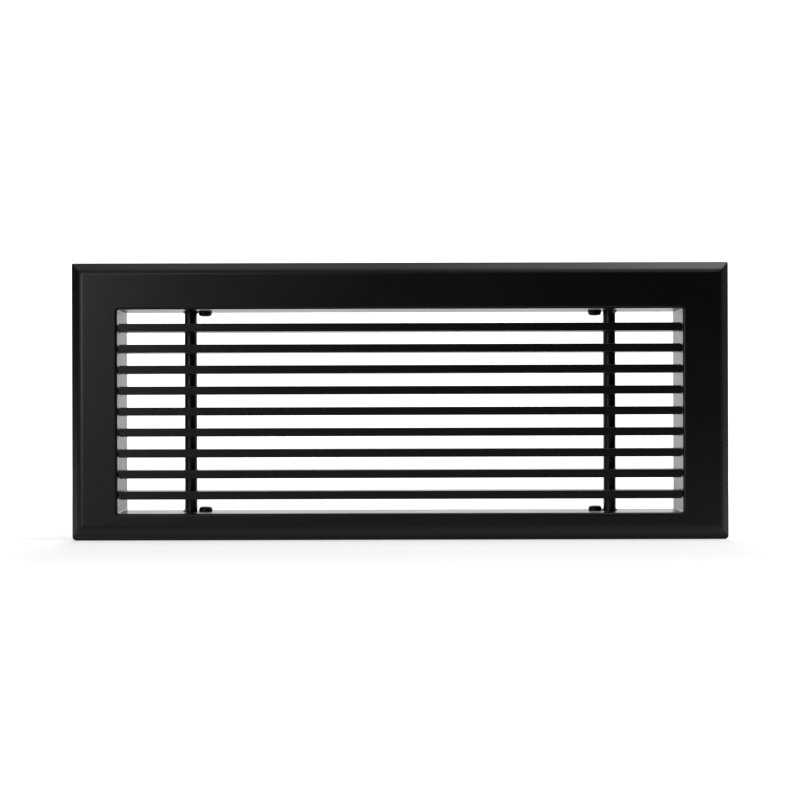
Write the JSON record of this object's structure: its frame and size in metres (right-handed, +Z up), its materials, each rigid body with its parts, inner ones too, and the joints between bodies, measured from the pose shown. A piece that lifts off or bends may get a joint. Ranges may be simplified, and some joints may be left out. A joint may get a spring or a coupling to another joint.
{
  "type": "linear supply grille",
  "caption": "Rectangular wall grille: slim horizontal bars on round cross rods, held in a black pressed steel face frame whose neck slides into a duct opening.",
  "frame": {"origin": "middle of the duct opening in the plane of the wall", "axes": "+X along the bars, +Y into the duct, +Z up; the face looks along -Y"},
  "size_m": [0.3982, 0.0374, 0.1682],
  "materials": {
    "frame_coat": "satin black powder coat",
    "bar_coat": "satin black powder coat",
    "rod_coat": "satin black powder coat",
    "screw_black": "black finish, satin",
    "nut_zinc": "bright zinc plate",
    "clip_steel": "tempered spring steel, dull"
  },
  "bodies": {
    "root": {"face_frame": "frame_coat", "bar_1": "bar_coat", "bar_2": "bar_coat", "bar_3": "bar_coat", "bar_4": "bar_coat", "bar_5": "bar_coat", "bar_6": "bar_coat", "bar_7": "bar_coat", "bar_8": "bar_coat", "bar_9": "bar_coat", "rod_left": "rod_coat", "rod_right": "rod_coat", "screw_top_left": "screw_black", "screw_top_right": "screw_black", "screw_bottom_left": "screw_black", "screw_bottom_right": "screw_black", "nut_top_left": "nut_zinc", "nut_top_right": "nut_zinc", "nut_bottom_left": "nut_zinc", "nut_bottom_right": "nut_zinc", "spring_clip_top_left": "clip_steel", "spring_clip_top_right": "clip_steel", "spring_clip_bottom_left": "clip_steel", "spring_clip_bottom_right": "clip_steel"}
  },
  "joints": []
}
